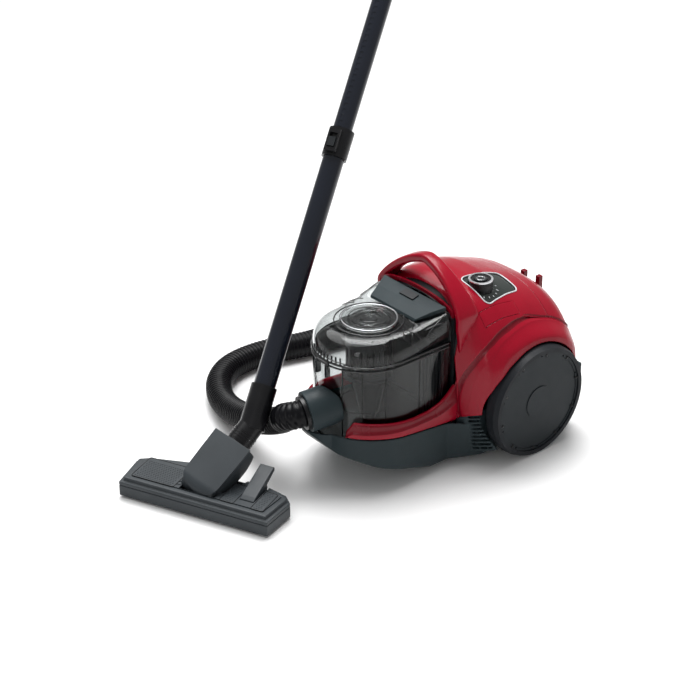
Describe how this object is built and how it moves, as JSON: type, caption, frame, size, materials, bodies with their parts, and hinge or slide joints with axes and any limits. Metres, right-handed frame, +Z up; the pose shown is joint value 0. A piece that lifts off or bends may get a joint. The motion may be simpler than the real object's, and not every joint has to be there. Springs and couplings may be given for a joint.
{
  "type": "canister vacuum cleaner",
  "caption": "Bagless canister vacuum cleaner with clear dust bin, corrugated hose, telescopic tube and hard-floor head; wheels, lid, bin, controls and tube move.",
  "frame": {"origin": "on the floor, under the middle of the box round the canister, tube and floor head (hose and hand grip left out)", "axes": "+Z up from the floor, -Y towards the front of the canister where the hose plugs in, +X towards its left side"},
  "size_m": [0.4933, 0.825, 0.6988],
  "materials": {
    "red": "gloss",
    "bow_red": "gloss",
    "slate": "satin",
    "charcoal": "matte",
    "black": "satin",
    "panel_black": "gloss",
    "trim_silver": "satin",
    "filter_foam": "matte",
    "motor_steel": "satin",
    "rubber": "matte",
    "board_green": "matte",
    "axle_steel": "satin",
    "tyre_rubber": "matte",
    "smoke": "clear",
    "smoke_solid": "gloss",
    "hose_black": "satin",
    "bristle": "matte",
    "tube_black": "gloss"
  },
  "bodies": {
    "canister": {"base_shell": "slate", "body_shell": "red", "rear_hood": "red", "fender_left": "red", "fender_right": "red", "front_bow": "bow_red", "carry_handle": "red", "bay_rim": "bow_red", "bay_wall": "charcoal", "control_panel": "panel_black", "tool_clip": "bow_red", "exhaust_grille": "charcoal", "exhaust_filter": "filter_foam", "motor_housing": "motor_steel", "fan_cover": "motor_steel", "motor_mounts": "rubber", "control_board": "board_green", "reel_axle": "axle_steel", "bin_tray": "charcoal", "wheel_axles": "axle_steel", "inlet_socket": "slate", "hose_connector": "black", "hose_cuff": "black", "hose": "hose_black", "grip_collar": "charcoal", "hand_grip": "charcoal"},
    "wheel_left": {"tyre_left": "tyre_rubber", "wheel_disc_left": "charcoal"},
    "wheel_right": {"tyre_right": "tyre_rubber", "wheel_disc_right": "charcoal"},
    "caster": {"caster_fork": "charcoal"},
    "caster_roller": {"caster_wheel": "black"},
    "knob": {"power_knob": "black", "knob_ring": "trim_silver"},
    "power_key": {"power_button": "charcoal"},
    "rewind_key": {"rewind_button": "red"},
    "fan": {"motor_fan": "charcoal"},
    "reel": {"cable_reel": "charcoal"},
    "bin": {"dust_bin": "smoke", "lid_hinge": "smoke_solid", "cyclone_shroud": "black", "cyclone_cone": "charcoal", "pleated_filter": "charcoal"},
    "lid": {"bin_lid": "smoke", "lid_disc": "smoke", "bin_handle": "slate"},
    "latch": {"bin_latch": "charcoal"},
    "air_valve": {"air_slider": "slate"},
    "floor_head": {"head_sole": "charcoal", "head_cover": "slate", "head_inlay": "slate"},
    "pedal": {"floor_pedal": "slate"},
    "rollers": {"head_rollers": "black"},
    "bristles": {"bristle_strips": "bristle"},
    "neck_part": {"neck": "slate"},
    "tube": {"swivel_collar": "charcoal", "lower_tube": "tube_black", "adjuster_collar": "black"},
    "tube_key": {"adjuster_button": "charcoal"},
    "tube_top": {"upper_tube": "tube_black"}
  },
  "joints": [
    {"name": "wheel_left_spin", "type": "hinge", "parent": "canister", "child": "wheel_left", "pos_m": [0.2102, 0.2096, 0.0874], "axis": [1, 0, 0], "continuous": true},
    {"name": "wheel_right_spin", "type": "hinge", "parent": "canister", "child": "wheel_right", "pos_m": [-0.0598, 0.2096, 0.0874], "axis": [1, 0, 0], "continuous": true},
    {"name": "caster_swivel", "type": "hinge", "parent": "canister", "child": "caster", "pos_m": [0.0752, 0.0136, 0.04], "axis": [0, 0, 1], "continuous": true},
    {"name": "caster_spin", "type": "hinge", "parent": "caster", "child": "caster_roller", "pos_m": [0.0752, 0.0226, 0.013], "axis": [1, 0, 0], "continuous": true},
    {"name": "power_dial", "type": "hinge", "parent": "canister", "child": "knob", "pos_m": [0.1282, 0.1716, 0.255], "axis": [0, 0, -1], "range_deg": [0, 270]},
    {"name": "power_press", "type": "slide", "parent": "knob", "child": "power_key", "axis": [0, 0, -1], "range_m": [0, 0.0025], "stiffness_N_per_m": 600},
    {"name": "rewind_press", "type": "slide", "parent": "canister", "child": "rewind_key", "axis": [0, 0, -1], "range_m": [0, 0.003], "stiffness_N_per_m": 600},
    {"name": "fan_spin", "type": "hinge", "parent": "canister", "child": "fan", "pos_m": [0.1052, 0.1796, 0.132], "axis": [0, 1, 0], "continuous": true},
    {"name": "reel_spin", "type": "hinge", "parent": "canister", "child": "reel", "pos_m": [0.0072, 0.1996, 0.142], "axis": [1, 0, 0], "continuous": true},
    {"name": "bin_lift", "type": "slide", "parent": "canister", "child": "bin", "axis": [0, 0, 1], "range_m": [0, 0.18]},
    {"name": "lid_open", "type": "hinge", "parent": "bin", "child": "lid", "pos_m": [0.0752, -0.0785, 0.196], "axis": [1, 0, 0], "range_deg": [0, 95]},
    {"name": "latch_press", "type": "slide", "parent": "lid", "child": "latch", "axis": [0, 0, -1], "range_m": [0, 0.002], "stiffness_N_per_m": 600},
    {"name": "air_slide", "type": "slide", "parent": "canister", "child": "air_valve", "axis": [-1, 0, 0], "range_m": [0, 0.01]},
    {"name": "head_glide", "type": "slide", "parent": "canister", "child": "floor_head", "axis": [0.4067, -0.9135, 0], "range_m": [0, 0.25]},
    {"name": "pedal_rock", "type": "hinge", "parent": "floor_head", "child": "pedal", "pos_m": [0.07516, -0.19444, 0.035], "axis": [-0.9135, -0.4067, 0], "range_deg": [0, 10]},
    {"name": "roller_spin", "type": "hinge", "parent": "floor_head", "child": "rollers", "pos_m": [0.01904, -0.24788, 0.0055], "axis": [0.9135, 0.4067, 0], "continuous": true},
    {"name": "bristle_lift", "type": "slide", "parent": "floor_head", "child": "bristles", "axis": [0, 0, 1], "range_m": [0, 0.004]},
    {"name": "neck_tilt", "type": "hinge", "parent": "floor_head", "child": "neck_part", "pos_m": [0.01904, -0.24788, 0.03], "axis": [0.9135, 0.4067, 0], "range_deg": [0, 26]},
    {"name": "neck_swivel", "type": "hinge", "parent": "neck_part", "child": "tube", "pos_m": [0.0142, -0.1574, 0.095], "axis": [-0.0434, 0.8114, 0.5829], "range_deg": [-20, 0]},
    {"name": "tube_lock", "type": "slide", "parent": "tube", "child": "tube_key", "axis": [-0.2814, 0.6007, 0.7483], "range_m": [0, 0.006], "stiffness_N_per_m": 300},
    {"name": "tube_telescope", "type": "slide", "parent": "tube", "child": "tube_top", "axis": [-0.2814, 0.6007, 0.7483], "range_m": [-0.33, 0]}
  ],
  "couplings": [
    {"joint": "bristle_lift", "follows": "pedal_rock", "m_per_rad": 0.02246}
  ]
}
